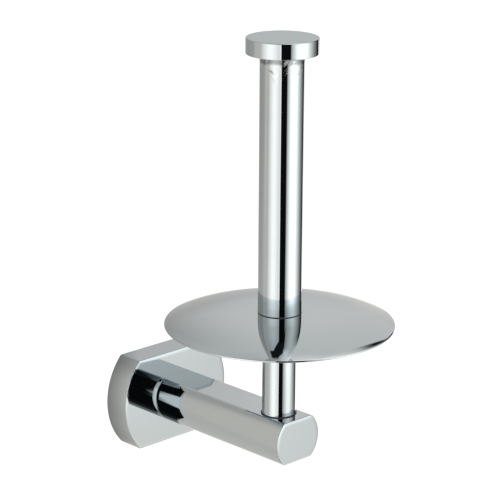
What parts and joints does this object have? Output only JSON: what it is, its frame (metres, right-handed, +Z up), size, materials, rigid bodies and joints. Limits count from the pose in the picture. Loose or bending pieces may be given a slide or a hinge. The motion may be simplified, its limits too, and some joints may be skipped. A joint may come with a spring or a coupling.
{
  "type": "toilet roll holder",
  "caption": "Wall-mounted toilet roll holder: a flat-sided round cover, a flattened bar, and an upright post with a domed plate and a round cap.",
  "frame": {"origin": "centre of the bracket's back face, on the wall", "axes": "+Y into the wall, so the bar points to -Y; +Z up along the post"},
  "size_m": [0.1152, 0.1496, 0.2275],
  "materials": {
    "polished_chrome": "polished",
    "cast_zinc": "satin",
    "screw_steel": "satin",
    "turned_brass": "satin",
    "dark_nylon": "satin"
  },
  "bodies": {
    "bracket": {"wall_bracket": "cast_zinc"},
    "holder": {"wall_cover": "polished_chrome", "arm": "polished_chrome", "arm_screw": "screw_steel", "spring_washer": "screw_steel", "dowels": "screw_steel", "post_screw": "screw_steel", "flat_washer": "screw_steel", "stem_washer": "dark_nylon", "stem": "polished_chrome", "post_stud": "turned_brass", "lower_gasket": "dark_nylon", "roll_plate": "polished_chrome", "upper_gasket": "dark_nylon", "post_tube": "polished_chrome", "foot_plug": "turned_brass", "head_plug": "turned_brass", "cap_stud": "turned_brass", "end_cap": "polished_chrome"},
    "clamp_screw": {"grub_screw": "screw_steel"}
  },
  "joints": [
    {"name": "holder_slide", "type": "slide", "parent": "bracket", "child": "holder", "axis": [0, -1, 0], "range_m": [0, 0.016]},
    {"name": "grub_screw_travel", "type": "slide", "parent": "holder", "child": "clamp_screw", "axis": [0, 0, -1], "range_m": [0, 0.003]}
  ]
}
